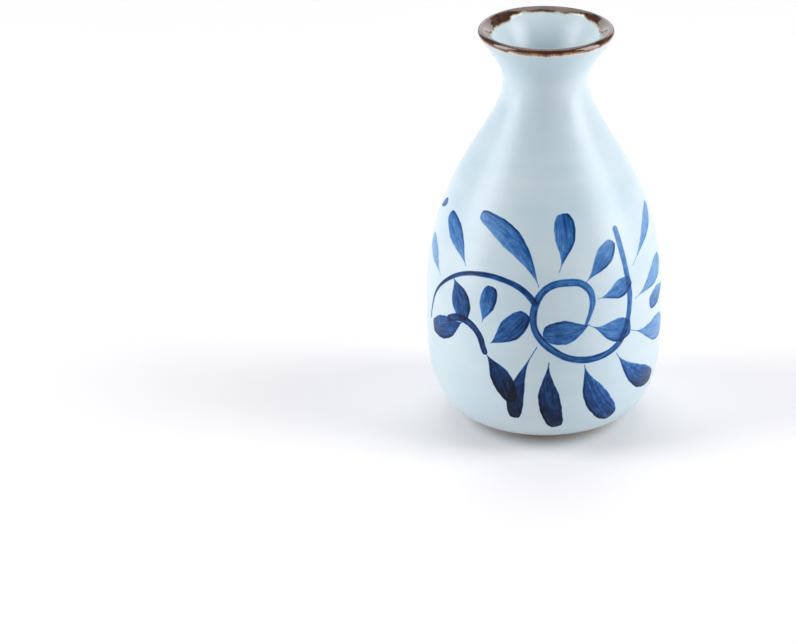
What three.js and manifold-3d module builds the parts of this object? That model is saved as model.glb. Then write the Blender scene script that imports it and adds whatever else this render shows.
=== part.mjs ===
// A glazed ceramic sake bottle (tokkuri): a thrown clay body with a round belly, a narrow neck and a
// flared mouth. A pale glaze covers it outside and inside, an iron-brown glaze runs over the rim, and a
// leafy vine scroll is painted round the belly in cobalt blue.
//
// Millimetres, +Z up, origin at the middle of the foot's resting face. Azimuth 0 is the painted front,
// which faces -Y, and azimuth 90 is +X. Every layer and every brush stroke is a closed solid of its own.

import * as THREE from 'three';
import Module from 'manifold-3d';

const wasm = await Module();
wasm.setup();

// ---- Driving dimensions ----------------------------------------------------------------------------

const HEIGHT = 148.5;
const BELLY_RADIUS = 42.7; // over the glaze, at the widest place
const BELLY_HEIGHT = 48.5;
const NECK_RADIUS = 15.3; // over the glaze, at the narrowest place
const NECK_HEIGHT = 128.5;
const LIP_RADIUS = 24.1; // over the glaze, at the outer edge of the mouth
const LIP_ROUND = 1.5; // radius of the rolled rim, over the glaze
const LIP_FLARE = 60; // degrees above the horizontal at which the outer wall meets the rim
const MOUTH_SLOPE = 38; // the same for the wall inside the mouth

const GLAZE = 0.35; // thickness of every glaze coat
const BOND = 0.05; // clearance between the clay and its glaze
const SEAM = 0.15; // each coat stops this far short of the line where the next one starts
const COAT = BOND + GLAZE;

const WALL = 3.8; // clay wall at the belly
const NECK_WALL = 3.5;
const FLOOR_TOP = 7;
const FOOT_OUTER = 24.3;
const FOOT_INNER = 19.5;
const FOOT_WELL_DEPTH = 2.5; // recess inside the foot ring
const FOOT_GROOVE = 1.8; // height at which the foot ring turns out into the belly
const FOOT_BEVEL = 0.6;
const HEEL_RADIUS = 26; // where the underside starts to curve up
const HEEL_HEIGHT = 2.6;
const HEEL_SLOPE = 10; // degrees above the horizontal

const PAINT_LIFT = 0.15; // clearance between the glaze and a brush stroke
const PAINT = 0.15; // thickness of a brush stroke
const STROKE_GAP = 0.25; // clearance left where one stroke crosses another

const LATHE_SEGMENTS = 36;
const LEAF_STEPS = 6;
const VINE_STEP = 4.2;

const CLAY_COLOUR = 0xc9b7a0;
const GLAZE_COLOUR = 0xc3d6dc;
const LIP_COLOUR = 0x5a3522;
const COBALT_COLOUR = 0x2f5c96;

// ---- The clay's outline ----------------------------------------------------------------------------

const radians = THREE.MathUtils.degToRad;
const at = (radius, height) => new THREE.Vector2(radius, height);
const heading = (degrees) => at(Math.cos(radians(degrees)), Math.sin(radians(degrees)));

// A smooth stretch from one point to the next, leaving and arriving along the given directions.
function sweep(from, leave, reach, to, arrive, pull) {
  const first = from.clone().addScaledVector(leave, reach);
  const second = to.clone().addScaledVector(arrive, -pull);
  return new THREE.CubicBezierCurve(from, first, second, to);
}

// The outline runs from the axis under the foot, out and up the outer wall, over the rim, down the inner
// wall and back to the axis on the floor. Each entry is a stretch and the number of steps it is cut into.
function clayStretches() {
  const up = heading(90);
  const down = heading(-90);
  const wellEdge = at(FOOT_INNER - FOOT_BEVEL, FOOT_WELL_DEPTH);
  const footInner = at(FOOT_INNER, 0);
  const footOuter = at(FOOT_OUTER - FOOT_BEVEL, 0);
  const footShoulder = at(FOOT_OUTER, FOOT_GROOVE);
  const heel = at(HEEL_RADIUS, HEEL_HEIGHT);
  const belly = at(BELLY_RADIUS - COAT, BELLY_HEIGHT);
  const neck = at(NECK_RADIUS - COAT, NECK_HEIGHT);
  const lipRound = LIP_ROUND - COAT;
  const lipCentre = at(LIP_RADIUS - LIP_ROUND, HEIGHT - LIP_ROUND);
  const lipOuter = lipCentre.clone().addScaledVector(heading(LIP_FLARE - 90), lipRound);
  const lipInner = lipCentre.clone().addScaledVector(heading(MOUTH_SLOPE + 90), lipRound);
  const neckInside = at(neck.x - NECK_WALL, NECK_HEIGHT);
  const bellyInside = at(belly.x - WALL, BELLY_HEIGHT);
  const floorEdge = at(FOOT_INNER, FLOOR_TOP);
  const rimArc = (from, to) =>
    new THREE.EllipseCurve(lipCentre.x, lipCentre.y, lipRound, lipRound, radians(from), radians(to), false);
  return {
    well: [new THREE.LineCurve(at(0, FOOT_WELL_DEPTH), wellEdge), 1],
    wellWall: [new THREE.LineCurve(wellEdge, footInner), 1],
    footRing: [new THREE.LineCurve(footInner, footOuter), 1],
    footSide: [new THREE.LineCurve(footOuter, footShoulder), 1],
    footGroove: [new THREE.LineCurve(footShoulder, heel), 1],
    lowerBelly: [sweep(heel, heading(HEEL_SLOPE), 18, belly, up, 17), 7],
    upperBelly: [sweep(belly, up, 44, neck, up, 16), 10],
    mouth: [sweep(neck, up, 8.2, lipOuter, heading(LIP_FLARE), 8.5), 6],
    outerRim: [rimArc(LIP_FLARE - 90, 90), 4],
    innerRim: [rimArc(90, MOUTH_SLOPE + 90), 3],
    throat: [sweep(lipInner, heading(MOUTH_SLOPE + 180), 6.5, neckInside, down, 7.5), 7],
    upperInside: [sweep(neckInside, down, 16, bellyInside, down, 44), 7],
    lowerInside: [sweep(bellyInside, down, 18, floorEdge, heading(180), 16), 5],
    floor: [new THREE.LineCurve(floorEdge, at(0, FLOOR_TOP)), 1],
  };
}

// The outline's corner points, each with its outward normal, and where each named stretch starts and ends.
function cutOutline(stretches) {
  const stations = [];
  const spans = {};
  for (const [name, [curve, steps]] of Object.entries(stretches)) {
    spans[name] = { first: Math.max(stations.length - 1, 0) };
    for (let step = stations.length === 0 ? 0 : 1; step <= steps; step += 1) {
      const tangent = curve.getTangent(step / steps);
      const normal = at(tangent.y, -tangent.x);
      stations.push({ point: curve.getPoint(step / steps), tangent, normal });
    }
    spans[name].last = stations.length - 1;
  }
  return { stations, spans };
}

const stretches = clayStretches();
const { stations, spans } = cutOutline(stretches);

// ---- Turned solids ---------------------------------------------------------------------------------

function turned(profile) {
  const geometry = new THREE.LatheGeometry(profile, LATHE_SEGMENTS);
  geometry.rotateX(Math.PI / 2);
  return geometry;
}

// A coat of glaze over the outline from one station to another. It stops a seam's width short at each
// end, unless it ends on the axis.
function coat(first, last) {
  const endsOnAxis = last === stations.length - 1;
  const trimAt = (index) => {
    if (index === first) {
      return SEAM;
    }
    return index === last && !endsOnAxis ? -SEAM : 0;
  };
  const face = (lift) =>
    stations
      .slice(first, last + 1)
      .map(({ point, tangent, normal }, step) =>
        point.clone().addScaledVector(normal, lift).addScaledVector(tangent, trimAt(first + step)),
      );
  const outside = face(COAT);
  const backing = face(BOND).reverse();
  if (endsOnAxis) {
    return turned([...backing, ...outside]);
  }
  return turned([...outside, ...backing, outside[0].clone()]);
}

const clayBody = () => turned(stations.map(({ point }) => point));

// The glaze stops short of the foot ring, which is left bare to stand in the kiln.
const outerGlaze = () => coat(spans.lowerBelly.first, spans.mouth.last);

// The brown band runs from just under the rim, over it and a little way down into the mouth.
const lipGlaze = () => coat(spans.mouth.last, spans.throat.first + 1);

const liningGlaze = () => coat(spans.throat.first + 1, spans.floor.last);

// A disc of glaze inside the foot ring, clear of the ring's inner wall.
function footWellGlaze() {
  const radius = FOOT_INNER - 2 * FOOT_BEVEL;
  const top = FOOT_WELL_DEPTH - BOND;
  const bottom = top - GLAZE;
  return turned([at(0, bottom), at(radius, bottom), at(radius, top), at(0, top)]);
}

// ---- The painted wall ------------------------------------------------------------------------------

// Brush strokes are laid out on the outer wall by azimuth in degrees and by the distance run up the wall.
const wall = new THREE.CurvePath();
wall.add(stretches.lowerBelly[0]);
wall.add(stretches.upperBelly[0]);
const WALL_LENGTH = wall.getLength();

// The wall's radius and height at a distance up it, at some height above the clay.
function wallPoint(run, lift) {
  const share = run / WALL_LENGTH;
  const tangent = wall.getTangent(share);
  return wall.getPoint(share).addScaledVector(at(tangent.y, -tangent.x), lift);
}

// The distance up the wall at which it reaches a height, by halving.
function runAtHeight(height) {
  let low = 0;
  let high = WALL_LENGTH;
  while (high - low > 0.01) {
    const middle = (low + high) / 2;
    if (wallPoint(middle, COAT).y < height) {
      low = middle;
    } else {
      high = middle;
    }
  }
  return (low + high) / 2;
}

// A place above the glaze, in space.
function onWall(azimuth, run, lift) {
  const { x: radius, y: height } = wallPoint(run, COAT + lift);
  const angle = radians(azimuth);
  return new THREE.Vector3(Math.sin(angle) * radius, -Math.cos(angle) * radius, height);
}

// A closed plate that follows a spine of {azimuth, run, half} places, three points wide, between two
// heights above the glaze. Half is half the stroke's width there.
function ribbon(spine, low, high, margin) {
  const positions = [];
  const index = [];
  spine.forEach(({ azimuth, run, half }, step) => {
    const before = spine[Math.max(step - 1, 0)];
    const after = spine[Math.min(step + 1, spine.length - 1)];
    const perDegree = radians(1) * wallPoint(run, COAT).x;
    const along = at((after.azimuth - before.azimuth) * perDegree, after.run - before.run).normalize();
    for (const lift of [low, high]) {
      for (const side of [-1, 0, 1]) {
        const reach = side * (half + margin);
        const azimuthThere = azimuth + (along.y * reach) / perDegree;
        positions.push(...onWall(azimuthThere, run - along.x * reach, lift));
      }
    }
  });
  const quad = (a, b, c, d) => index.push(a, b, c, a, c, d);
  for (let step = 0; step < spine.length - 1; step += 1) {
    const here = step * 6;
    const next = here + 6;
    for (const column of [0, 1]) {
      quad(here + column, next + column, next + column + 1, here + column + 1);
      quad(here + column + 3, here + column + 4, next + column + 4, next + column + 3);
    }
    quad(here, here + 3, next + 3, next);
    quad(here + 2, next + 2, next + 5, here + 5);
  }
  const end = (spine.length - 1) * 6;
  for (const column of [0, 1]) {
    quad(column, column + 1, column + 4, column + 3);
    quad(end + column, end + column + 3, end + column + 4, end + column + 1);
  }
  return new wasm.Manifold(
    new wasm.Mesh({
      numProp: 3,
      vertProperties: new Float32Array(positions),
      triVerts: new Uint32Array(index),
    }),
  );
}

// ---- Brush strokes ---------------------------------------------------------------------------------

// Vines: places as [azimuth, height], with the stroke's width at each end.
const VINES = {
  scroll_vine: {
    route: [
      [40.3, 84], [41.6, 76], [42.8, 68], [43.7, 60], [43.2, 54], [41.5, 48.5], [38, 43], [33, 40],
      [26.5, 38.4], [18, 38], [9, 39.5], [1.5, 43], [-3.5, 46.5], [-6.8, 51], [-7.5, 56], [-6, 61],
      [-2.5, 65], [3, 67.3], [10, 67.7], [16, 67], [20.5, 64], [21.7, 60], [20.5, 56], [17.9, 51.3],
    ],
    width: [2.3, 2.5],
  },
  arch_vine: {
    route: [
      [-8.2, 62], [-12, 64.5], [-17, 66.6], [-23, 67.8], [-30, 68.4], [-38, 68], [-45, 66.8],
      [-52, 64.5], [-59, 61], [-65, 57], [-69, 53], [-72, 48], [-74.5, 42],
    ],
    width: [2, 0.7],
  },
  hook_vine: {
    route: [[-45, 48], [-41.5, 49.2], [-38, 48.3], [-35, 46], [-33.3, 43.5], [-32.6, 41]],
    width: [2.6, 2.8],
  },
};

// Leaves: a thin tail and a round head as [azimuth, height], the greatest width, how far the stroke bows
// to its left as it runs from tail to head, and the share of its length at which it is widest.
const LEAVES = [
  { tail: [-89, 81.5], head: [-79, 85.8], width: 3.2, bow: 0, peak: 0.65 },
  { tail: [-45.6, 69.3], head: [-69.5, 83.5], width: 7.2, bow: -1.5, peak: 0.62 },
  { tail: [-64.5, 61.3], head: [-85, 71.5], width: 6.3, bow: -0.8, peak: 0.65 },
  { tail: [-5, 66.4], head: [-43, 88], width: 7.5, bow: -5, peak: 0.6 },
  { tail: [5.2, 71.5], head: [8.5, 90.9], width: 7.8, bow: -1.3, peak: 0.7 },
  { tail: [18.3, 66.9], head: [36.5, 79.5], width: 6.6, bow: -0.3, peak: 0.67 },
  { tail: [24.5, 60.5], head: [45, 64.3], width: 6.4, bow: -0.8, peak: 0.68 },
  { tail: [20, 51.5], head: [-2.8, 49.3], width: 9, bow: 1, peak: 0.58 },
  { tail: [20, 51], head: [44, 46.5], width: 9, bow: -1.2, peak: 0.7 },
  { tail: [48, 68.5], head: [82, 84], width: 5.2, bow: 1, peak: 0.7 },
  { tail: [47, 56.3], head: [78, 65], width: 7.5, bow: -0.8, peak: 0.7 },
  { tail: [82, 54], head: [60, 51], width: 7, bow: 0, peak: 0.65 },
  { tail: [43.5, 45.3], head: [78, 39], width: 9.5, bow: -1.3, peak: 0.75 },
  { tail: [35, 38], head: [68, 20.5], width: 8.3, bow: -3.2, peak: 0.64 },
  { tail: [17.5, 36], head: [37.5, 11.5], width: 9.3, bow: -2.6, peak: 0.6 },
  { tail: [0.2, 38], head: [5, 10.5], width: 7.9, bow: -1.7, peak: 0.62 },
  { tail: [-31, 39], head: [-18, 21.5], width: 8, bow: 0.9, peak: 0.6 },
  { tail: [-5.5, 44], head: [-17.3, 14.3], width: 5.9, bow: -2.1, peak: 0.75 },
  { tail: [-28.6, 43.5], head: [-11, 56.7], width: 8.2, bow: -0.8, peak: 0.58 },
  { tail: [-33.3, 50.8], head: [-28.7, 64.8], width: 6.5, bow: 0, peak: 0.62 },
  { tail: [-53, 63.5], head: [-45.5, 49.3], width: 8.8, bow: 1.5, peak: 0.58 },
  { tail: [-45, 48.5], head: [-70, 41], width: 7.6, bow: 1, peak: 0.55 },
];

// A leaf stroke opens slowly from its thin tail, is widest at its peak and closes in a round head: one
// arch of a sine, drawn along to the peak and raised to a power that falls from tail to head.
const TAIL_POWER = 1.1;
const HEAD_POWER = 0.3;
const HEAD_CROWDING = 1.6; // draws the plate's steps together towards the round head
const TIP_HALF_WIDTH = 0.25;

function leafShape(share, peak) {
  const drawn = share ** (Math.log(0.5) / Math.log(peak));
  return Math.sin(Math.PI * Math.min(drawn, 1)) ** THREE.MathUtils.lerp(TAIL_POWER, HEAD_POWER, share);
}

function leafSpine({ tail, head, width, bow, peak }) {
  const start = { azimuth: tail[0], run: runAtHeight(tail[1]) };
  const end = { azimuth: head[0], run: runAtHeight(head[1]) };
  const perDegree = radians(1) * wallPoint((start.run + end.run) / 2, COAT).x;
  const chord = at((end.azimuth - start.azimuth) * perDegree, end.run - start.run);
  const left = at(-chord.y, chord.x).normalize();
  const spine = [];
  for (let step = 0; step <= LEAF_STEPS; step += 1) {
    const share = 1 - (1 - step / LEAF_STEPS) ** HEAD_CROWDING;
    const aside = 4 * bow * share * (1 - share);
    spine.push({
      azimuth: start.azimuth + (chord.x * share + left.x * aside) / perDegree,
      run: start.run + chord.y * share + left.y * aside,
      half: Math.max((width / 2) * leafShape(share, peak), TIP_HALF_WIDTH),
    });
  }
  return spine;
}

function vineSpine({ route, width }) {
  const perDegree = radians(1) * BELLY_RADIUS;
  const places = route.map(([azimuth, height]) => at(azimuth * perDegree, runAtHeight(height)));
  const curve = new THREE.SplineCurve(places);
  const steps = Math.round(curve.getLength() / VINE_STEP);
  return curve.getSpacedPoints(steps).map((place, step) => ({
    azimuth: place.x / perDegree,
    run: place.y,
    half: THREE.MathUtils.lerp(width[0], width[1], step / steps) / 2,
  }));
}

// Every stroke of the motif as a solid. Where two meet, the later one is cut back from the earlier one,
// and its largest piece is kept.
function paintedMotif() {
  const spines = {};
  for (const [name, vine] of Object.entries(VINES)) {
    spines[name] = vineSpine(vine);
  }
  LEAVES.forEach((leaf, number) => {
    spines[`leaf_${String(number + 1).padStart(2, '0')}`] = leafSpine(leaf);
  });
  const motif = {};
  const guards = [];
  for (const [name, spine] of Object.entries(spines)) {
    let solid = ribbon(spine, PAINT_LIFT, PAINT_LIFT + PAINT, 0);
    for (const guard of guards) {
      solid = solid.subtract(guard);
    }
    const pieces = solid.decompose().sort((one, other) => other.volume() - one.volume());
    motif[name] = toGeometry(pieces[0]);
    guards.push(ribbon(spine, 0, 2 * (PAINT_LIFT + PAINT), STROKE_GAP));
  }
  return motif;
}

function toGeometry(solid) {
  const { vertProperties, triVerts } = solid.getMesh();
  const geometry = new THREE.BufferGeometry();
  geometry.setAttribute('position', new THREE.BufferAttribute(vertProperties, 3));
  geometry.setIndex(new THREE.BufferAttribute(triVerts, 1));
  geometry.computeVertexNormals();
  return geometry;
}

// ---- Materials and assembly ------------------------------------------------------------------------

const materials = {
  clay: new THREE.MeshStandardMaterial({ color: CLAY_COLOUR, roughness: 0.85, metalness: 0 }),
  glaze: new THREE.MeshStandardMaterial({ color: GLAZE_COLOUR, roughness: 0.25, metalness: 0 }),
  lip: new THREE.MeshStandardMaterial({ color: LIP_COLOUR, roughness: 0.18, metalness: 0 }),
  cobalt: new THREE.MeshStandardMaterial({ color: COBALT_COLOUR, roughness: 0.28, metalness: 0 }),
};

function named(name, geometry, material) {
  const mesh = new THREE.Mesh(geometry, material);
  mesh.name = name;
  return mesh;
}

const bottle = new THREE.Group();
bottle.add(
  named('clay_body', clayBody(), materials.clay),
  named('outer_glaze', outerGlaze(), materials.glaze),
  named('lining_glaze', liningGlaze(), materials.glaze),
  named('foot_well_glaze', footWellGlaze(), materials.glaze),
  named('lip_glaze', lipGlaze(), materials.lip),
);

// The motif is painted on the front and again on the back, half a turn round.
const motif = paintedMotif();
for (const [side, turn] of [['front', 0], ['back', Math.PI]]) {
  const painting = new THREE.Group();
  painting.rotation.z = turn;
  for (const [name, geometry] of Object.entries(motif)) {
    painting.add(named(`${side}_${name}`, geometry, materials.cobalt));
  }
  bottle.add(painting);
}

export default bottle;
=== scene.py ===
"""Looks of a glazed sake bottle: bare clay, pale glaze, brown lip and a brushed cobalt vine scroll.

Lengths are in millimetres and angles in degrees until a mesh is made; Blender's own units are metres.
Azimuth 0 is the painted front, which faces -Y, and azimuth 90 is +X.
"""

import math

import bpy
import numpy as np
from mathutils import Matrix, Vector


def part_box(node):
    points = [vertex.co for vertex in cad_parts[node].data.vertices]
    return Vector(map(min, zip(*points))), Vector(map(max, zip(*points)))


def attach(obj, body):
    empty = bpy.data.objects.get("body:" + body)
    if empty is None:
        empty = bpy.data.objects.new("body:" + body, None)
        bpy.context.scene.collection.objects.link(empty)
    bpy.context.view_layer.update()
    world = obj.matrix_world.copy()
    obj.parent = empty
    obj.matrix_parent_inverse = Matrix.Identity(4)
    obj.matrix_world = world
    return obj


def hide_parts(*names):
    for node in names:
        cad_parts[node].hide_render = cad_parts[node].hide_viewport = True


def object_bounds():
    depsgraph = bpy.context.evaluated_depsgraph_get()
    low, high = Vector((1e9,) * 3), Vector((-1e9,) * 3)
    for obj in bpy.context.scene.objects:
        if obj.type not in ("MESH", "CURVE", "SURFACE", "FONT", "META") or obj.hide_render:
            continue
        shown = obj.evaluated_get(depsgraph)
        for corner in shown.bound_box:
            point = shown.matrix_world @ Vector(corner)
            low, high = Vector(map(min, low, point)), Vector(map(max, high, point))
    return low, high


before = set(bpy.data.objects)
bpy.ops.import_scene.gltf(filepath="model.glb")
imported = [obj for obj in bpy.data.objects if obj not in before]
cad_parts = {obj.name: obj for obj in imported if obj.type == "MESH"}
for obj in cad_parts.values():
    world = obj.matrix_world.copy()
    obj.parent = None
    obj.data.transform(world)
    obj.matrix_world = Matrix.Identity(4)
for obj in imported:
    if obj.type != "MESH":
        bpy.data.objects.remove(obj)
cad_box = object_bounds()

MM = 0.001

# ---- Driving dimensions ------------------------------------------------------------------------------

OUTLINE_STEP = 0.1  # spacing of the samples along the outline
FOOT_WEAR = 0.25  # how far the foot's corners are rounded
SEGMENTS = 240  # round the bottle
BACKING = 0.05  # how far above the clay a coat's thickness is counted from
COAT_BACK = BACKING - 0.02  # where the back of a glaze coat lies
ROLL_LENGTH = 4.0  # the outer glaze's thick rolled line at its start, which has finer rows
ROLL_ROWS = 24
COAT_STEP = 0.7  # spacing of the outer glaze's rows above that
COAT_BACK_ROWS = 6  # rows of the outer glaze's face for each row of its back
COAT_START = 0.15  # bare clay left above the heel's edge, before the outer glaze starts
CLAY_STEP = 2.0  # spacing of the clay's rows, which the glaze hides
FOOT_STEP = 0.25  # the same round the bare foot
LINING_STEP = 1.0  # spacing of the lining's rows
LINING_BACK_ROWS = 8  # rows of its face for each row of its back
PAINT_GRID = 0.3  # spacing of a brush stroke's vertices
PAINT_MARGIN = 0.5  # how far a stroke's plate runs on past the edge of its ink
PAINT_SUNK = 0.03  # how far that margin dips into the glaze
PAINT_PROUD = 0.03  # how far the ink stands above the glaze
PAINT_LEVEL = 0.012  # how much higher each stroke lies than those it crosses
PAINT_BACK = 0.06  # how far below the glaze's face a stroke's backing lies
INK_EDGE = 0.16  # softness of the ink's edge
INK_SUM = 1.8  # the power by which the inks of crossing strokes add up
LIP_OUTSIDE = 2.2  # reach of the brown glaze from the crest of the rim, down the outside
LIP_INSIDE = 3.4  # the same, into the mouth
LIP_MARGIN = 0.7  # how far its plate runs on past its coloured edge
LIP_ROWS = 96  # across its face
LIP_BACK_ROWS = 12  # rows of its face for each row of its back
OUTER_UNDER_LIP = 0.3  # how far the outer glaze runs on under the brown one
LINING_UNDER_LIP = 2.4  # the same for the lining, which the brown's ragged inner edge must never bare

# ---- The outline, from the frame ---------------------------------------------------------------------


def cad_corners():
    """The clay's outline at azimuth 0, as (radius, height) corners from under the foot to the floor."""
    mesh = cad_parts["clay_body"].data
    places = []
    for vertex in mesh.vertices:
        x, y, z = vertex.co / MM
        in_plane = abs(x) < 0.01 and y < 0.01
        places.append((round(abs(y), 3), round(z, 3)) if in_plane else None)
    beside = {}
    for edge in mesh.edges:
        one, other = (places[index] for index in edge.vertices)
        if one and other and one != other:
            beside.setdefault(one, set()).add(other)
            beside.setdefault(other, set()).add(one)
    here = min((place for place in beside if place[0] == 0), key=lambda place: place[1])
    corners = [here]
    while True:
        onward = [place for place in beside[here] if place not in corners]
        if not onward:
            return np.array(corners)
        here = onward[0]
        corners.append(here)


def smooth_line(corners):
    """A smooth line through the corners, sampled at OUTLINE_STEP."""
    gaps = np.hypot(*np.diff(corners, axis=0).T)
    along = np.concatenate([[0], np.cumsum(gaps)])
    slopes = np.diff(corners, axis=0) / gaps[:, None]
    weights = gaps[:-1, None] + gaps[1:, None]
    inner = (slopes[:-1] * gaps[1:, None] + slopes[1:] * gaps[:-1, None]) / weights
    tangents = np.vstack([2 * slopes[0] - inner[0], inner, 2 * slopes[-1] - inner[-1]])
    places = np.arange(0, along[-1], OUTLINE_STEP)
    span = np.clip(np.searchsorted(along, places, side="right") - 1, 0, len(gaps) - 1)
    gap = gaps[span, None]
    t = (places - along[span])[:, None] / gap
    start = (1 + 2 * t) * (1 - t) ** 2 * corners[span] + t * (1 - t) ** 2 * gap * tangents[span]
    end = t**2 * (3 - 2 * t) * corners[span + 1] + t**2 * (t - 1) * gap * tangents[span + 1]
    return start + end


def straight_line(corners):
    """Straight runs between the corners, sampled at OUTLINE_STEP, with the corners worn round."""
    gaps = np.hypot(*np.diff(corners, axis=0).T)
    along = np.concatenate([[0], np.cumsum(gaps)])
    places = np.arange(0, along[-1], OUTLINE_STEP)
    line = np.stack([np.interp(places, along, corners[:, axis]) for axis in (0, 1)], axis=1)
    reach = int(3 * FOOT_WEAR / OUTLINE_STEP)
    kernel = np.exp(-0.5 * (np.arange(-reach, reach + 1) * OUTLINE_STEP / FOOT_WEAR) ** 2)
    kernel /= kernel.sum()
    worn = line.copy()
    for axis in (0, 1):
        worn[reach:-reach, axis] = np.convolve(line[:, axis], kernel, mode="valid")
    return worn


class Outline:
    """The clay's outline by the distance along it, with its outward normals."""

    def __init__(self):
        corners = cad_corners()
        foot = int(np.nonzero(corners[:, 1] < 0.01)[0][-1]) + 2
        floor = len(corners) - 2
        parts = [
            straight_line(corners[: foot + 1]),
            smooth_line(corners[foot : floor + 1]),
            np.array([corners[floor], corners[-1]]),
        ]
        line = np.vstack(parts)
        steps = np.hypot(*np.diff(line, axis=0).T)
        self.along = np.concatenate([[0], np.cumsum(steps)])
        self.radius, self.height = line.T
        lead = np.gradient(self.radius, self.along)
        rise = np.gradient(self.height, self.along)
        length = np.hypot(lead, rise)
        self.normal_out = rise / length
        self.normal_up = -lead / length
        self.length = self.along[-1]
        self.heel = self.along[len(parts[0])]
        self.crest = self.along[int(np.argmax(self.height))]
        self.floor_edge = self.along[-2]

    def at(self, along, lift):
        """Radius and height at a distance along the outline and some height above the clay."""
        radius = np.interp(along, self.along, self.radius)
        height = np.interp(along, self.along, self.height)
        out = np.interp(along, self.along, self.normal_out)
        up = np.interp(along, self.along, self.normal_up)
        return radius + out * lift, height + up * lift

    def wall_run(self, height, lift):
        """The distance along the outer wall at which it reaches a height."""
        wall = np.arange(self.heel, self.crest, OUTLINE_STEP)
        return np.interp(height, self.at(wall, lift)[1], wall)


outline = Outline()
COAT = (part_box("outer_glaze")[1].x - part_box("clay_body")[1].x) / MM


def unevenness(azimuth, along):
    """How far the glaze strays from the turned outline: throwing rings and a slow hand-made wobble."""
    rings = 0.022 * np.sin(2 * np.pi * along / 7.4 + azimuth + 0.7 * np.sin(along / 23))
    fine_rings = 0.009 * np.sin(2 * np.pi * along / 3.3 + 2 * azimuth + 1.1 * np.sin(along / 17 + 1))
    slow = 0.05 * np.sin(2 * azimuth + along / 31 + 0.4) + 0.03 * np.sin(3 * azimuth - along / 19)
    return rings + fine_rings + slow


def surface(azimuth, along, lift):
    """Places over the glaze, in millimetres. Azimuth is in radians and lift is from the clay."""
    radius, height = outline.at(along, lift + unevenness(azimuth, along))
    return np.stack([np.sin(azimuth) * radius, -np.cos(azimuth) * radius, height], axis=-1)


# ---- Meshes ------------------------------------------------------------------------------------------


def add_piece(name, places, faces, material, nodes, flat_from=None, values=None):
    """A closed mesh as a piece of the bottle. Faces from flat_from on are shaded flat."""
    mesh = bpy.data.meshes.new(name)
    mesh.from_pydata((places * MM).tolist(), [], faces)
    smooth = np.ones(len(mesh.polygons), dtype=bool)
    if flat_from is not None:
        smooth[flat_from:] = False
    mesh.polygons.foreach_set("use_smooth", smooth)
    for key, value in (values or {}).items():
        kind, field = ("FLOAT", "value") if value.ndim == 1 else ("FLOAT_VECTOR", "vector")
        layer = mesh.attributes.new(key, kind, "POINT")
        layer.data.foreach_set(field, value.astype(np.float32).ravel())
    mesh.materials.append(material)
    piece = bpy.data.objects.new(name, mesh)
    bpy.context.scene.collection.objects.link(piece)
    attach(piece, "root")
    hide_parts(*nodes)
    return piece


def ring_faces(rows, first=0, closed=False):
    """Quads between rows of SEGMENTS vertices, facing out where the rows climb the outside."""
    faces = []
    for row in range(rows if closed else rows - 1):
        here = first + row * SEGMENTS
        above = first + (row + 1) % rows * SEGMENTS
        for column in range(SEGMENTS):
            beside = (column + 1) % SEGMENTS
            faces.append((here + column, here + beside, above + beside, above + column))
    return faces


def cap_faces(pole, row, at_start):
    """Triangles from a row of vertices to a vertex on the axis, at the outline's start or its end."""
    faces = []
    for column in range(SEGMENTS):
        beside = row + (column + 1) % SEGMENTS
        here = row + column
        faces.append((pole, beside, here) if at_start else (pole, here, beside))
    return faces


AZIMUTHS = np.arange(SEGMENTS) * 2 * np.pi / SEGMENTS


def over_rows(along, lift):
    """Rows of places round the bottle, for distances along the outline and lifts, one for each row."""
    azimuth = AZIMUTHS[None, :]
    return surface(azimuth, along[:, None] + 0 * azimuth, lift[:, None] + 0 * azimuth)


def soft_step(low, high, value):
    """From 0 at the low value to 1 at the high one, easing in and out."""
    share = np.clip((value - low) / (high - low), 0, 1)
    return share * share * (3 - 2 * share)


def clay_body(material):
    """The thrown clay, with a worn foot ring. It follows the outline exactly, without unevenness."""
    along = np.concatenate(
        [
            np.arange(1.0, outline.heel, FOOT_STEP),
            np.arange(outline.heel, outline.floor_edge, CLAY_STEP),
            [outline.floor_edge],
        ]
    )
    radius, height = outline.at(along, 0)
    turn = AZIMUTHS[None, :]
    places = np.stack(
        [
            np.sin(turn) * radius[:, None],
            -np.cos(turn) * radius[:, None],
            height[:, None] + 0 * turn,
        ],
        axis=-1,
    ).reshape(-1, 3)
    poles = np.array([[0, 0, outline.height[0]], [0, 0, outline.height[-1]]])
    count = len(places)
    faces = ring_faces(len(along))
    faces += cap_faces(count, 0, True)
    faces += cap_faces(count + 1, count - SEGMENTS, False)
    add_piece("fired_clay", np.vstack([places, poles]), faces, material, ["clay_body"])


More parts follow.
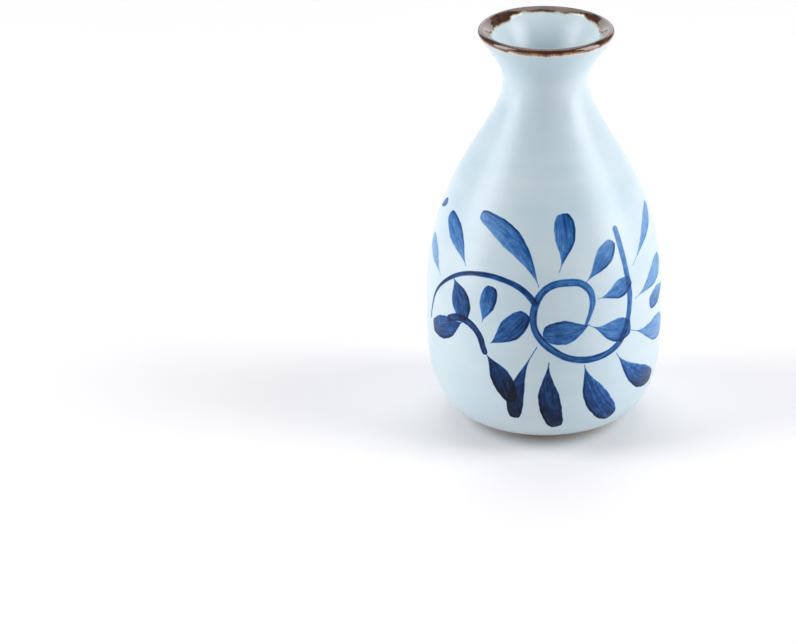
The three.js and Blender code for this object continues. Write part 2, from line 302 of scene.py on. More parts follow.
def outer_glaze(material):
    """The pale coat, from a thick rolled line above the bare foot to under the brown lip."""
    start = outline.heel + COAT_START
    top = outline.crest - LIP_OUTSIDE + OUTER_UNDER_LIP
    along = np.concatenate(
        [
            np.linspace(start, start + ROLL_LENGTH, ROLL_ROWS),
            np.arange(start + ROLL_LENGTH + COAT_STEP, top - 0.3, COAT_STEP),
            [top],
        ]
    )
    azimuth = AZIMUTHS[None, :]
    droop = 0.35 * np.sin(2 * azimuth + 1) + 0.22 * np.sin(5 * azimuth) + 0.12 * np.sin(11 * azimuth + 2)
    near_start = 1 - soft_step(0, 6, along - start)[:, None]
    shifted = along[:, None] + (droop + 0.35) * near_start
    climb = along - start
    roll = np.sqrt(np.clip(climb / 0.5, 0, 1)) + 0.35 * np.exp(-(((climb - 0.9) / 0.7) ** 2))
    fall = 1 - 0.4 * soft_step(top - 0.8, top, along)
    lift = BACKING + (COAT - BACKING) * roll * fall
    face = surface(azimuth, shifted, lift[:, None] + 0 * azimuth)
    keep = np.r_[0 : len(along) : COAT_BACK_ROWS, len(along) - 1]
    back = surface(azimuth, shifted[keep], COAT_BACK + 0 * azimuth)[::-1]
    places = np.vstack([face.reshape(-1, 3), back.reshape(-1, 3)])
    faces = ring_faces(len(along) + len(keep), closed=True)
    front = (len(along) - 1) * SEGMENTS
    add_piece("outer_pale_glaze", places, faces, material, ["outer_glaze"], flat_from=front)


def lining_glaze(material):
    """The pale coat inside, from under the brown lip down to the floor."""
    top = outline.crest + LIP_INSIDE - LINING_UNDER_LIP
    along = np.concatenate(
        [
            np.arange(top, outline.floor_edge - 0.5, LINING_STEP),
            np.linspace(outline.floor_edge, outline.length - 0.5, 16),
        ]
    )
    fall = 0.6 + 0.4 * soft_step(top, top + 0.8, along)
    face = over_rows(along, COAT * fall)
    keep = np.r_[0 : len(along) : LINING_BACK_ROWS, len(along) - 1]
    back = over_rows(along[keep], np.full(len(keep), COAT_BACK))[::-1]
    places = np.vstack([back.reshape(-1, 3), face.reshape(-1, 3)])
    count = len(places)
    floor = outline.height[-1]
    poles = np.array([[0, 0, floor + COAT_BACK], [0, 0, floor + COAT]])
    faces = ring_faces(len(keep) + len(along))
    faces += cap_faces(count, 0, True)
    faces += cap_faces(count + 1, count - SEGMENTS, False)
    places = np.vstack([places, poles])
    add_piece("lining_pale_glaze", places, faces, material, ["lining_glaze"])


def foot_well_glaze(material):
    """A pool of glaze in the recess under the foot, thick in the middle and drawn up at its edge."""
    low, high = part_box("foot_well_glaze")
    reach = high.x / MM
    top = high.z / MM
    bottom = low.z / MM
    flat = np.linspace(0.04, 0.9, 28)
    rolled = 0.9 + 0.1 * np.sin(np.linspace(0.15, 1.57, 10))
    radius = reach * np.concatenate([flat, rolled])
    past_flat = np.clip(radius / reach, 0.9, 1) / 0.1 - 9
    thick = (top - bottom) * np.sqrt(np.clip(1 - past_flat**2, 0, 1))
    azimuth = AZIMUTHS[None, :]
    ripple = 0.05 * np.sin(3 * azimuth + radius[:, None] / 3) * np.cos(radius[:, None] / 4)
    edge = 1 - 0.012 * np.sin(4 * azimuth + 1) - 0.008 * np.sin(9 * azimuth) - 0.02
    wide = radius[:, None] * edge
    down = top - thick[:, None] * (0.85 + ripple)
    under = np.stack([np.sin(azimuth) * wide, -np.cos(azimuth) * wide, down], axis=-1)
    upper = np.stack([np.sin(azimuth) * wide, -np.cos(azimuth) * wide, top + 0 * wide], axis=-1)
    upper = upper[[20, 0]]  # two rows are enough for its flat side, against the clay
    places = np.vstack([under.reshape(-1, 3), upper.reshape(-1, 3)])
    count = len(places)
    poles = np.array([[0, 0, down[0].mean()], [0, 0, top]])
    faces = ring_faces(len(radius) + 2)
    faces += cap_faces(count, 0, True)
    faces += cap_faces(count + 1, count - SEGMENTS, False)
    places = np.vstack([places, poles])
    add_piece("foot_well_pool", places, faces, material, ["foot_well_glaze"])


# Runs of brown glaze inside the mouth: azimuth, half width in degrees and extra length.
LIP_RUNS = [(-134, 12, 0.9), (-116, 6, 0.5), (172, 9, 0.3), (140, 14, -0.9), (62, 8, 0.5)]


def lip_reach(azimuth):
    """How far the brown glaze reaches down the outside and into the mouth, from the rim's crest."""
    outside = LIP_OUTSIDE + 0.15 * np.sin(azimuth + 2.2) + 0.12 * np.sin(3 * azimuth + 0.5)
    outside += 0.1 * np.sin(8 * azimuth + 1) + 0.06 * np.sin(17 * azimuth + 2)
    inside = LIP_INSIDE - 0.9 * np.cos(2 * azimuth) + 0.15 * np.sin(5 * azimuth + 0.4)
    inside += 0.15 * np.sin(11 * azimuth + 2) + 0.1 * np.sin(23 * azimuth)
    for centre, width, length in LIP_RUNS:
        turn = np.angle(np.exp(1j * (azimuth - math.radians(centre))), deg=True)
        inside += length * np.exp(-((turn / width) ** 2))
    return outside, inside


def lip_glaze(material):
    """The brown glaze over the rim, thin at both ragged edges, with the depth in from them as a value."""
    azimuth = AZIMUTHS[None, :]
    outside, inside = lip_reach(azimuth)
    share = np.linspace(0, 1, LIP_ROWS)[:, None]
    start = outline.crest - outside - LIP_MARGIN
    end = outline.crest + inside + LIP_MARGIN
    along = start + (end - start) * share
    depth_out = along - start - LIP_MARGIN
    depth_in = end - along - LIP_MARGIN
    depth = np.minimum(depth_out, depth_in)
    swell = 0.07 * soft_step(-LIP_MARGIN, 0.7, depth) + 0.05 * np.exp(-(((depth - 0.9) / 0.7) ** 2))
    lift = COAT - 0.035 + swell - 0.06 * soft_step(1.5, 4, depth)
    face = surface(azimuth, along, lift)
    last = LIP_ROWS - 1
    keep = np.r_[0:LIP_ROWS:LIP_BACK_ROWS, last]
    back_lift = np.where(keep[:, None] % last == 0, COAT - 0.08, BACKING)
    back = surface(azimuth, along[keep], back_lift + 0 * azimuth)[::-1]
    places = np.vstack([face.reshape(-1, 3), back.reshape(-1, 3)])
    side = np.where(depth_out < depth_in, 0.0, 1.0)
    extra = np.zeros(len(keep) * SEGMENTS)
    values = {
        "edge_depth": np.concatenate([depth.ravel(), extra]),
        "inner_side": np.concatenate([side.ravel(), extra]),
    }
    faces = ring_faces(LIP_ROWS + len(keep), closed=True)
    add_piece(
        "brown_lip_glaze",
        places,
        faces,
        material,
        ["lip_glaze"],
        flat_from=last * SEGMENTS,
        values=values,
    )


# ---- Brush strokes -----------------------------------------------------------------------------------

# The strokes follow those of the CAD model, whose plates they replace. The CAD model cuts its plates apart
# where they cross. Here they are whole, so some vines start or end further along, under a neighbour.
# Vines: places as (azimuth, height), the width at each end, the share of that width left at the very end,
# the strength of the ink, how far it fades towards both ends, and how far it leans to the left edge.
VINES = {
    "scroll_vine": {
        "route": [
            (40.3, 84), (41.6, 76), (42.8, 68), (43.7, 60), (43.2, 54), (41.5, 48.5), (38, 43), (33, 40),
            (26.5, 38.4), (18, 38), (9, 39.5), (1.5, 43), (-3.5, 46.5), (-6.8, 51), (-7.5, 56), (-6, 61),
            (-2.5, 65), (3, 67.3), (10, 67.7), (16, 67), (20.5, 64), (21.7, 60), (20.5, 56), (17.9, 51.3),
        ],
        "width": (2.3, 2.5),
        "tip": 0.5,
        "ink": 0.88,
        "fade": 0.45,
        "lean": -0.1,
    },
    "arch_vine": {
        "route": [
            (-6, 59.5), (-8.5, 62), (-12, 64.5), (-17, 66.6), (-23, 67.8), (-30, 68.4), (-38, 68),
            (-45, 66.8), (-52, 64.5), (-59, 61), (-65, 57), (-69, 53), (-72, 48), (-74.5, 42),
        ],
        "width": (2.2, 0.7),
        "tip": 1,
        "ink": 1.1,
        "fade": 0,
        "lean": -0.3,
    },
    "hook_vine": {
        "route": [
            (-56, 47), (-51.5, 48.8), (-46.5, 49.8), (-41.5, 49.3), (-37.3, 47.5), (-34.3, 44.8),
            (-32.8, 41.6), (-31.3, 38.6),
        ],
        "width": (2.6, 2.8),
        "tip": 0.8,
        "ink": 1.2,
        "fade": 0,
        "lean": 0.1,
    },
}

# Leaves: tail and head as (azimuth, height), greatest width, bow to the left, the share of the length
# where it is widest, strength of the ink, how far the ink leans to the left edge, and its strength at the
# head against the tail.
LEAVES = [
    ((-89, 81.5), (-79, 85.8), 3.2, 0, 0.65, 0.75, -0.2, 1),
    ((-45.6, 69.3), (-69.5, 83.5), 7.2, -1.5, 0.62, 0.6, -0.3, 1.15),
    ((-64.5, 61.3), (-85, 71.5), 6.3, -0.8, 0.65, 0.32, 0, 0.9),
    ((-5, 66.4), (-43, 88), 7.5, -5, 0.6, 0.68, -0.4, 0.8),
    ((5.2, 71.5), (8.5, 90.9), 7.8, -1.3, 0.7, 0.63, -0.3, 1.3),
    ((18.3, 66.9), (36.5, 79.5), 6.6, -0.3, 0.67, 0.62, -0.3, 0.95),
    ((24.5, 60.5), (45, 64.3), 6.4, -0.8, 0.68, 0.52, -0.3, 1.25),
    ((20, 51.5), (-2.8, 49.3), 9, 1, 0.58, 0.78, -0.15, 1.1),
    ((20, 51), (44, 46.5), 9, -1.2, 0.7, 0.56, -0.2, 1.35),
    ((48, 68.5), (82, 84), 5.2, 1, 0.7, 0.38, -0.2, 1),
    ((47, 56.3), (78, 65), 7.5, -0.8, 0.7, 0.38, -0.1, 1),
    ((82, 54), (60, 51), 7, 0, 0.65, 0.47, 0.2, 1.25),
    ((43.5, 45.3), (78, 39), 9.5, -1.3, 0.75, 0.42, -0.1, 0.9),
    ((35, 38), (68, 20.5), 8.3, -3.2, 0.64, 0.82, -0.3, 1.6),
    ((17.5, 36), (37.5, 11.5), 9.3, -2.6, 0.6, 1.0, -0.3, 1.2),
    ((0.2, 38), (5, 10.5), 7.9, -1.7, 0.62, 1.3, -0.1, 1.4),
    ((-31, 39), (-18, 21.5), 8, 0.9, 0.6, 1.5, -0.1, 1.3),
    ((-5.5, 44), (-17.3, 14.3), 5.9, -2.1, 0.75, 1.05, 0, 1.8),
    ((-28.6, 43.5), (-11, 56.7), 8.2, -0.8, 0.58, 0.92, -0.2, 1.25),
    ((-33.3, 50.8), (-28.7, 64.8), 6.5, 0, 0.62, 0.68, -0.3, 1.5),
    ((-53, 63.5), (-45.5, 49.3), 8.8, 1.5, 0.58, 1.1, 0.3, 0.95),
    ((-45.5, 48.3), (-71, 40.5), 8.4, 1, 0.55, 1.1, 0.2, 1),
]
TAIL_POWER = 1.1
HEAD_POWER = 0.3
TIP_HALF_WIDTH = 0.12
VINE_TAPER = 14.0  # the length at a vine's end over which its width falls to its tip's share
SPINE_STEP = 0.25
EDGE_WAVES = ((0.03, 2.6), (0.02, 1.1), (0.012, 0.5))  # shares of a stroke's width, and their lengths


class Stroke:
    """A brush stroke: its middle line by azimuth (radians) and distance up the wall, and its half width."""

    def __init__(self, name, number, azimuth, run, half, ink, lean, head_ink, fade=0):
        self.name = name
        self.number = number
        self.ink = ink
        self.lean = lean
        self.head_ink = head_ink
        self.fade = fade
        radius = outline.at(run, COAT)[0]
        step_x = np.gradient(azimuth) * radius
        step_y = np.gradient(run)
        length = np.hypot(step_x, step_y)
        steps = np.hypot(np.diff(azimuth) * (radius[1:] + radius[:-1]) / 2, np.diff(run))
        self.along = np.concatenate([[0], np.cumsum(steps)])
        self.length = self.along[-1]
        self.azimuth = azimuth
        self.run = run
        self.ahead = np.stack([step_x / length, step_y / length], axis=1)
        random = np.random.default_rng(number)
        waves = sum(
            size * np.sin(self.along / scale + random.uniform(0, 2 * np.pi)) for size, scale in EDGE_WAVES
        )
        self.half = np.maximum(half * (1 + waves), TIP_HALF_WIDTH)
        self.slope = np.gradient(self.half, self.along)

    def place(self, azimuth, run):
        """For points on the wall: distance along the stroke, offset to its left, depth in from its edge."""
        radius = outline.at(run, COAT)[0]
        gap_x = (azimuth[:, None] - self.azimuth) * radius[:, None]
        gap_y = run[:, None] - self.run
        nearest = np.argmin(gap_x**2 + gap_y**2, axis=1)
        row = np.arange(len(azimuth))
        gap_x = gap_x[row, nearest]
        gap_y = gap_y[row, nearest]
        ahead = self.ahead[nearest]
        forward = gap_x * ahead[:, 0] + gap_y * ahead[:, 1]
        left = gap_y * ahead[:, 0] - gap_x * ahead[:, 1]
        along = self.along[nearest] + forward
        half = np.interp(along, self.along, self.half)
        slope = np.interp(along, self.along, self.slope)
        depth = (half - np.abs(left)) / np.sqrt(1 + slope**2)
        beyond = np.maximum(-along, along - self.length)
        depth = np.where(beyond > 0, -np.hypot(beyond, np.maximum(np.abs(left) - half, 0)), depth)
        return along, left, depth, half

    def density(self, azimuth, run):
        """How much cobalt lies at points on the wall, nothing outside the stroke."""
        along, left, depth, half = self.place(azimuth, run)
        share = np.clip(along / self.length, 0, 1)
        cover = soft_step(-INK_EDGE, INK_EDGE, depth)
        across = np.clip(left / half, -1, 1)
        leaning = 1 + self.lean * across * np.abs(across)
        along_ink = 1 + (self.head_ink - 1) * soft_step(0.3, 0.95, share)
        along_ink *= 1 - self.fade * (1 - np.sin(np.pi * share))
        rim = np.clip(0.4 + self.lean * across, 0.1, 0.8) * soft_step(0.1, 0.5, share)
        pooled = 1 + rim * np.exp(-(((depth - 0.25) / 0.4) ** 2))
        return self.ink * cover * leaning * along_ink * pooled

    def outer_half(self, along):
        """Half the plate's width: the stroke's outline grown by PAINT_MARGIN all round."""
        widest = np.full(len(along), 0.04)
        for shift in np.linspace(-PAINT_MARGIN, PAINT_MARGIN, 15):
            there = along + shift
            inside = (there >= 0) & (there <= self.length)
            grown = np.interp(there, self.along, self.half) + math.sqrt(PAINT_MARGIN**2 - shift**2)
            widest = np.maximum(widest, np.where(inside, grown, 0))
        return widest

    def point(self, along, left):
        """Azimuth and wall distance of places by their distance along the stroke and offset to its left."""
        on = np.clip(along, 0, self.length)
        beyond = along - on
        azimuth = np.interp(on, self.along, self.azimuth)
        run = np.interp(on, self.along, self.run)
        ahead = np.stack([np.interp(on, self.along, self.ahead[:, axis]) for axis in (0, 1)], axis=1)
        radius = outline.at(run, COAT)[0]
        over = ahead[:, 0] * beyond - ahead[:, 1] * left
        up = ahead[:, 1] * beyond + ahead[:, 0] * left
        return azimuth + over / radius, run + up


def leaf_stroke(number, tail, head, width, bow, peak, ink, lean, head_ink):
    """A leaf: one arch of a sine, drawn along to its peak, with a thin tail and a round head."""
    start = outline.wall_run(tail[1], COAT)
    end = outline.wall_run(head[1], COAT)
    per_degree = math.radians(1) * outline.at((start + end) / 2, COAT)[0]
    chord = np.array([(head[0] - tail[0]) * per_degree, end - start])
    left = np.array([-chord[1], chord[0]]) / np.hypot(*chord)
    share = np.linspace(0, 1, int(np.hypot(*chord) / SPINE_STEP) + 2)
    aside = 4 * bow * share * (1 - share)
    azimuth = tail[0] + (chord[0] * share + left[0] * aside) / per_degree
    run = start + chord[1] * share + left[1] * aside
    arch = np.sin(np.pi * share ** (math.log(0.5) / math.log(peak)))
    half = width / 2 * np.clip(arch, 0, 1) ** (TAIL_POWER + (HEAD_POWER - TAIL_POWER) * share)
    return Stroke(f"leaf_{number:02d}", number, np.radians(azimuth), run, half, ink, lean, head_ink)


def vine_stroke(name, number, vine):
    """A vine: a smooth line through its route, with round ends."""
    route = np.array([(azimuth, outline.wall_run(height, COAT)) for azimuth, height in vine["route"]])
    knots = np.arange(len(route))
    fine = np.linspace(0, len(route) - 1, 60 * len(route))
    span = np.clip(fine.astype(int), 0, len(route) - 2)
    slopes = np.gradient(route, axis=0)
    t = (fine - knots[span])[:, None]
    start = (1 + 2 * t) * (1 - t) ** 2 * route[span] + t * (1 - t) ** 2 * slopes[span]
    end = t**2 * (3 - 2 * t) * route[span + 1] + t**2 * (t - 1) * slopes[span + 1]
    line = start + end
    scale = np.array([math.radians(1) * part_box("outer_glaze")[1].x / MM, 1])
    along = np.concatenate([[0], np.cumsum(np.hypot(*(np.diff(line, axis=0) * scale).T))])
    even = np.linspace(0, along[-1], int(along[-1] / SPINE_STEP))
    azimuth = np.interp(even, along, line[:, 0])
    run = np.interp(even, along, line[:, 1])
    taper = soft_step(0, VINE_TAPER, even[-1] - even)
    width = np.linspace(*vine["width"], len(even)) * (vine["tip"] + (1 - vine["tip"]) * taper)
    ends = np.minimum(even, along[-1] - even)
    rounded = np.sqrt(np.clip(1 - (1 - np.clip(ends / (width / 2), 0, 1)) ** 2, 0, 1))
    half = width / 2 * rounded
    return Stroke(name, number, np.radians(azimuth), run, half, vine["ink"], vine["lean"], 1, vine["fade"])


def motif_strokes():
    strokes = [vine_stroke(name, 40 + index, vine) for index, (name, vine) in enumerate(VINES.items())]
    return strokes + [leaf_stroke(number, *leaf) for number, leaf in enumerate(LEAVES, start=1)]


def stroke_grid(stroke):
    """A grid over the stroke and its margin: distance along it and offset to its left, row by row."""
    rows = int((stroke.length + 2 * PAINT_MARGIN) / PAINT_GRID) + 2
    share = np.linspace(0, 1, rows)
    eased = 0.6 * share + 0.4 * (0.5 - 0.5 * np.cos(np.pi * share))
    along = -PAINT_MARGIN + (stroke.length + 2 * PAINT_MARGIN) * eased
    half = stroke.outer_half(along)
    columns = max(int(2 * half.max() / PAINT_GRID) + 1, 7)
    across = np.linspace(1, -1, columns)
    return np.repeat(along, columns), (half[:, None] * across).ravel(), rows, columns


def plate_faces(rows, columns):
    """Faces of a stroke's plate: its face, and a backing two vertices wide that closes it."""
    front = []
    for row in range(rows - 1):
        for column in range(columns - 1):
            here = row * columns + column
            front.append((here, here + 1, here + columns + 1, here + columns))
    back = []
    base = rows * columns
    for row in range(rows - 1):
        left = row * columns
        right = left + columns - 1
        under = base + 2 * row
        back.append((left, left + columns, under + 2, under))
        back.append((right, under + 1, under + 3, right + columns))
        back.append((under, under + 2, under + 3, under + 1))
    last = (rows - 1) * columns
    back.append((*range(columns - 1, -1, -1), base, base + 1))
    back.append((*range(last, last + columns), base + 2 * rows - 1, base + 2 * rows - 2))
    return front, back


def paint_strokes(material):
    """The scroll, stroke by stroke, on the front and again on the back."""
    strokes = motif_strokes()
    levels = {}
    for order, stroke in enumerate(strokes):
        along, left, rows, columns = stroke_grid(stroke)
        azimuth, run = stroke.point(along, left)
        own = stroke.density(azimuth, run)
        total = own**INK_SUM
        under = [0]
        for index, other in enumerate(strokes):
            reach = other.half.max() + 1
            wide = reach / outline.at(run, COAT)[0].min()
            near = (run > other.run.min() - reach) & (run < other.run.max() + reach)
            near &= (azimuth > other.azimuth.min() - wide) & (azimuth < other.azimuth.max() + wide)
            if other is stroke or not near.any():
                continue
            added = np.zeros(len(run))
            added[near] = other.density(azimuth[near], run[near])
            total += added**INK_SUM
            if index < order and added.max() > 0.01:
                under.append(levels[index] + 1)
        levels[order] = max(under)
        total = total ** (1 / INK_SUM)
        depth = stroke.place(azimuth, run)[2]
        rise = soft_step(-0.85 * PAINT_MARGIN, 0.1, depth)
        proud = PAINT_PROUD + PAINT_LEVEL * levels[order]
        lift = COAT - PAINT_SUNK + (PAINT_SUNK + proud) * rise
        front, back = plate_faces(rows, columns)
        ends = np.arange(rows)[:, None] * columns + np.array([0, columns - 1])
        base = ends.ravel()
        for side, turn in (("front", 0), ("back", math.pi)):
            face = surface(azimuth + turn, run, lift)
            backing = surface(azimuth[base] + turn, run[base], np.full(len(base), COAT - PAINT_BACK))
            seed = np.full(len(along), float(stroke.number) * 3.7 + turn * 11)
            brush = np.stack([along, left, seed], axis=1)
            values = {
                "ink": np.concatenate([total, total[base]]),
                "brush": np.vstack([brush, brush[base]]),
            }
            name = f"{side}_{stroke.name}"
            add_piece(
                f"painted_{name}",
                np.vstack([face, backing]),
                front + back,
                material,
                [name],
                flat_from=len(front),
                values=values,
            )


# ---- Materials ---------------------------------------------------------------------------------------


def new_material(name):
    """A node material, as its tree and its Principled shader."""
    material = bpy.data.materials.new(name)
    material.use_nodes = True
    tree = material.node_tree
    return material, tree, tree.nodes["Principled BSDF"]


def put(tree, kind, inputs=(), **settings):
    """Adds a node. Inputs are sockets to link or constants, by the socket's name or number."""
    node = tree.nodes.new(kind)
    for key, value in settings.items():
        setattr(node, key, value)
    for key, value in dict(inputs).items():
        if isinstance(value, bpy.types.NodeSocket):
            tree.links.new(value, node.inputs[key])
        else:
            node.inputs[key].default_value = value
    return node


def object_place(tree):
    return put(tree, "ShaderNodeTexCoord").outputs["Object"]


def noise(tree, place, scale, detail=3, roughness=0.55, stretch=(1, 1, 1)):
    """Noise from 0 to 1 with that many features in a metre, stretched along the axes."""
    scaled = put(tree, "ShaderNodeMapping", {"Vector": place, "Scale": stretch})
    inputs = {"Vector": scaled.outputs[0], "Scale": scale, "Detail": detail, "Roughness": roughness}
    return put(tree, "ShaderNodeTexNoise", inputs).outputs["Fac"]


def remap(tree, value, low, high, to_low, to_high):
    """A value taken from one range to another, easing in and out at the range's ends."""
    inputs = {"Value": value, 1: low, 2: high, 3: to_low, 4: to_high}
    return put(tree, "ShaderNodeMapRange", inputs, interpolation_type="SMOOTHSTEP").outputs[0]


def calculate(tree, operation, one, other):
    return put(tree, "ShaderNodeMath", {0: one, 1: other}, operation=operation).outputs[0]


def blend_colours(tree, share, one, other, kind="MIX"):
    inputs = {0: share, 6: one, 7: other}
    return put(tree, "ShaderNodeMix", inputs, data_type="RGBA", blend_type=kind).outputs[2]


def ramp(tree, value, stops):
    """A colour ramp through (position, colour) stops."""
    node = put(tree, "ShaderNodeValToRGB", {"Fac": value})
    elements = node.color_ramp.elements
    while len(elements) < len(stops):
        elements.new(0.5)
    for element, (position, colour) in zip(elements, stops):
        element.position = position
        element.color = (*colour, 1)
    return node.outputs["Color"]


def bump(tree, shader, height, strength, distance):
    inputs = {"Height": height, "Strength": strength, "Distance": distance}
    node = put(tree, "ShaderNodeBump", inputs)
    tree.links.new(node.outputs[0], shader.inputs["Normal"])


GLAZE_THIN = (0.60, 0.70, 0.74)
GLAZE_THICK = (0.50, 0.645, 0.71)
GLAZE_SPECK = (0.33, 0.30, 0.24)


def glaze_colour(tree, place):
    """The pale glaze: clouded where it lies thicker, faintly banded by the wheel, with a few iron specks."""
    clouds = noise(tree, place, 34, detail=4)
    bands = noise(tree, place, 60, detail=2, stretch=(0.25, 0.25, 2.2))
    thickness = calculate(tree, "ADD", clouds, calculate(tree, "MULTIPLY", bands, 0.5))
    share = remap(tree, thickness, 0.45, 1.05, 0, 1)
    colour = blend_colours(tree, share, (*GLAZE_THIN, 1), (*GLAZE_THICK, 1))
    specks = put(tree, "ShaderNodeTexVoronoi", {"Vector": place, "Scale": 160}).outputs["Distance"]
    share = remap(tree, specks, 0, 0.035, 0.55, 0)
    return blend_colours(tree, share, colour, (*GLAZE_SPECK, 1))


def glaze_finish(tree, shader, place, smoothest, roughest):
    """The soft gloss that the pale glaze and the painting under it share."""
    patches = noise(tree, place, 90, detail=4)
    tree.links.new(remap(tree, patches, 0.3, 0.7, smoothest, roughest), shader.inputs["Roughness"])
    peel = noise(tree, place, 420, detail=2)
    pits = noise(tree, place, 1500, detail=1)
    height = calculate(tree, "ADD", peel, calculate(tree, "MULTIPLY", pits, 0.3))
    bump(tree, shader, height, 0.22, 0.0001)
    shader.inputs["IOR"].default_value = 1.5


def pale_glaze():
    material, tree, shader = new_material("pale_glaze")
    place = object_place(tree)
    tree.links.new(glaze_colour(tree, place), shader.inputs["Base Color"])
    glaze_finish(tree, shader, place, 0.285, 0.37)
    return material


COBALT_PASS = (0.018, 0.1, 0.31)  # what one full load of the brush lets through, by channel
COBALT_BEND = (1.0, 1.0, 1.45)  # how late each channel goes: thin ink stays a clear blue, thick turns navy


def cobalt_paint():
    """Cobalt under the glaze: its colour darkens the glaze's by the load of ink, streaked by the bristles."""
    material, tree, shader = new_material("cobalt_paint")
    place = object_place(tree)
    ink = put(tree, "ShaderNodeAttribute", attribute_name="ink").outputs["Fac"]
    brush = put(tree, "ShaderNodeAttribute", attribute_name="brush").outputs["Vector"]
    hairs = noise(tree, brush, 1.0, detail=3, roughness=0.6, stretch=(0.10, 1.7, 1))
    patches = noise(tree, brush, 1.0, detail=2, stretch=(0.35, 0.5, 1))
    streaks = remap(tree, hairs, 0.25, 0.75, 0.74, 1.22)
    pools = remap(tree, patches, 0.25, 0.75, 0.8, 1.18)
    load = calculate(tree, "MULTIPLY", calculate(tree, "MULTIPLY", ink, streaks), pools)
    passed = put(tree, "ShaderNodeCombineColor")
    for channel, share, bend in zip(("Red", "Green", "Blue"), COBALT_PASS, COBALT_BEND):
        depth = calculate(tree, "POWER", load, bend)
        tree.links.new(calculate(tree, "POWER", share, depth), passed.inputs[channel])
    colour = blend_colours(tree, 1.0, glaze_colour(tree, place), passed.outputs[0], kind="MULTIPLY")
    tree.links.new(colour, shader.inputs["Base Color"])
    glaze_finish(tree, shader, place, 0.285, 0.35)
    shader.inputs["Specular IOR Level"].default_value = 0.18
    return material


# Colour ramps as (position, colour): the brown's mottling, then its fringes from their edges inwards.
BROWNS = [
    (0.3, (0.022, 0.009, 0.006)),
    (0.5, (0.055, 0.02, 0.011)),
    (0.72, (0.12, 0.045, 0.02)),
]
OUTER_FRINGE = [
    (0.10, (0.56, 0.66, 0.68)),
    (0.17, (0.62, 0.52, 0.38)),
    (0.26, (0.40, 0.17, 0.05)),
    (0.42, (0.13, 0.045, 0.018)),
]
INNER_FRINGE = [
    (0.10, (0.55, 0.66, 0.69)),
    (0.20, (0.58, 0.60, 0.49)),
    (0.32, (0.30, 0.22, 0.08)),
    (0.48, (0.10, 0.045, 0.02)),
]


def brown_lip():
    """Iron glaze: dark brown where thick, amber then cream at its ragged edges, greener inside the mouth."""
    material, tree, shader = new_material("brown_lip_glaze")
    place = object_place(tree)
    depth = put(tree, "ShaderNodeAttribute", attribute_name="edge_depth").outputs["Fac"]
    inner = put(tree, "ShaderNodeAttribute", attribute_name="inner_side").outputs["Fac"]
    ragged = noise(tree, place, 330, detail=4, roughness=0.65, stretch=(1, 1, 0.5))
    broad = noise(tree, place, 110, detail=2)
    fine_shift = remap(tree, ragged, 0.25, 0.75, -0.35, 0.35)
    shift = calculate(tree, "ADD", fine_shift, remap(tree, broad, 0.3, 0.7, -0.25, 0.25))
    inward = calculate(tree, "ADD", depth, shift)
    reach = put(tree, "ShaderNodeMapRange", {"Value": inward, 1: -0.5, 2: 2.5}).outputs[0]
    mottle = noise(tree, place, 210, detail=4)
    browns = ramp(tree, mottle, BROWNS)
    outer = ramp(tree, reach, OUTER_FRINGE)
    inside = ramp(tree, reach, INNER_FRINGE)
    edge = blend_colours(tree, inner, outer, inside)
    body = remap(tree, reach, 0.36, 0.52, 0, 1)
    colour = blend_colours(tree, body, edge, browns)
    tree.links.new(colour, shader.inputs["Base Color"])
    tree.links.new(remap(tree, mottle, 0.3, 0.7, 0.07, 0.14), shader.inputs["Roughness"])
    bump(tree, shader, noise(tree, place, 260, detail=3), 0.3, 0.00015)
    shader.inputs["IOR"].default_value = 1.55
    shader.inputs["Coat Weight"].default_value = 0.6
    shader.inputs["Coat Roughness"].default_value = 0.06
    return material


BUFFS = [
    (0.35, (0.50, 0.40, 0.30)),
    (0.55, (0.60, 0.50, 0.39)),
    (0.7, (0.66, 0.58, 0.48)),
]


def bare_clay():
    """Fired clay: warm buff, with dark grains, flashed orange where it meets the glaze."""
    material, tree, shader = new_material("bare_clay")
    place = object_place(tree)
    clouds = noise(tree, place, 45, detail=4)
    base = ramp(tree, clouds, BUFFS)
    grains = noise(tree, place, 1700, detail=2)
    colour = blend_colours(tree, remap(tree, grains, 0.62, 0.72, 0, 0.6), base, (0.28, 0.19, 0.12, 1))
    up = put(tree, "ShaderNodeSeparateXYZ", {0: place}).outputs[2]
    flash = remap(tree, up, 0.0012, 0.003, 0, 0.5)
    colour = blend_colours(tree, flash, colour, (0.50, 0.27, 0.14, 1))
    tree.links.new(colour, shader.inputs["Base Color"])
    tree.links.new(remap(tree, clouds, 0.3, 0.7, 0.78, 0.92), shader.inputs["Roughness"])
    bump(tree, shader, calculate(tree, "ADD", grains, noise(tree, place, 500)), 0.5, 0.00015)
    return material


def floor_material():
    """A matt pale floor, very slightly uneven in tone."""
    material, tree, shader = new_material("floor")
    tone = noise(tree, object_place(tree), 4, detail=2)
    colour = ramp(tree, tone, [(0.3, (0.86, 0.86, 0.86)), (0.7, (0.88, 0.88, 0.88))])
    tree.links.new(colour, shader.inputs["Base Color"])
    shader.inputs["Roughness"].default_value = 0.9
    return material


# ---- Floor, light and camera -------------------------------------------------------------------------

FLOOR_HALF = 6.0
CAMERA_PLACE = (-0.0532, -1.2906, 0.6086)
CAMERA_DOWN = 23.95
CAMERA_ROLL = -0.53
CAMERA_LENS = 175.2
LIGHT_TINT = (1.0, 0.98, 1.0)
WORLD_TINT = (0.93, 0.96, 1, 1)
WORLD_STRENGTH = 0.16


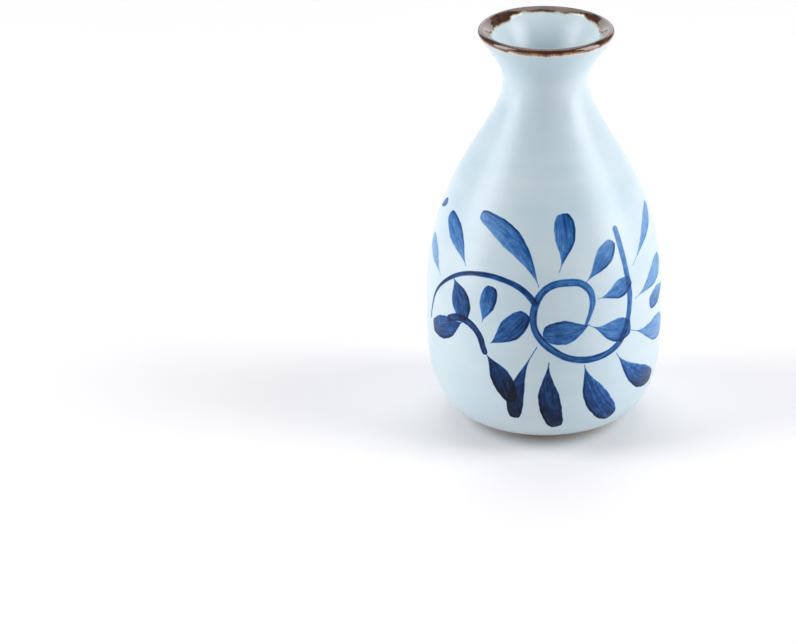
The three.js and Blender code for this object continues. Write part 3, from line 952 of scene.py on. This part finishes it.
def add_floor():
    signs = [(-1, -1), (1, -1), (1, 1), (-1, 1)]
    corners = [(across * FLOOR_HALF, along * FLOOR_HALF, 0) for across, along in signs]
    mesh = bpy.data.meshes.new("floor")
    mesh.from_pydata(corners, [], [(0, 1, 2, 3)])
    mesh.materials.append(floor_material())
    floor = bpy.data.objects.new("floor", mesh)
    bpy.context.scene.collection.objects.link(floor)


def add_softbox(name, azimuth, elevation, distance, width, height, watts):
    """A soft area light that faces the belly."""
    light = bpy.data.lights.new(name, "AREA")
    light.shape = "RECTANGLE"
    light.size = width
    light.size_y = height
    light.energy = watts
    light.color = LIGHT_TINT
    lamp = bpy.data.objects.new(name, light)
    turn, lift = math.radians(azimuth), math.radians(elevation)
    away = (math.sin(turn) * math.cos(lift), -math.cos(turn) * math.cos(lift), math.sin(lift))
    middle = (cad_box[0] + cad_box[1]) / 2
    lamp.location = [centre + distance * part for centre, part in zip(middle, away)]
    lamp.rotation_euler = (middle - lamp.location).to_track_quat("-Z", "Y").to_euler()
    lamp.visible_camera = False
    bpy.context.scene.collection.objects.link(lamp)


def add_lights():
    add_softbox("left_softbox", -83, 24, 1.1, 0.6, 1.2, 11.5)
    add_softbox("right_softbox", 79, 24, 1.1, 0.65, 1.2, 13)
    add_softbox("top_softbox", 180, 72, 1.2, 1.0, 1.0, 6)
    add_softbox("back_softbox", 180, 22, 1.6, 2.2, 0.9, 8)
    world = bpy.data.worlds.new("studio")
    world.use_nodes = True
    background = world.node_tree.nodes["Background"]
    background.inputs["Color"].default_value = WORLD_TINT
    background.inputs["Strength"].default_value = WORLD_STRENGTH
    bpy.context.scene.world = world


def add_camera():
    data = bpy.data.cameras.new("camera")
    data.lens = CAMERA_LENS
    camera = bpy.data.objects.new("camera", data)
    tilt = Matrix.Rotation(math.radians(90 - CAMERA_DOWN), 4, "X")
    roll = Matrix.Rotation(math.radians(CAMERA_ROLL), 4, "Z")
    camera.matrix_world = Matrix.Translation(CAMERA_PLACE) @ tilt @ roll
    bpy.context.scene.collection.objects.link(camera)
    bpy.context.scene.camera = camera


glaze = pale_glaze()
clay_body(bare_clay())
outer_glaze(glaze)
lining_glaze(glaze)
foot_well_glaze(glaze)
lip_glaze(brown_lip())
paint_strokes(cobalt_paint())
add_floor()
add_lights()
add_camera()
bpy.context.scene.view_settings.view_transform = "Standard"
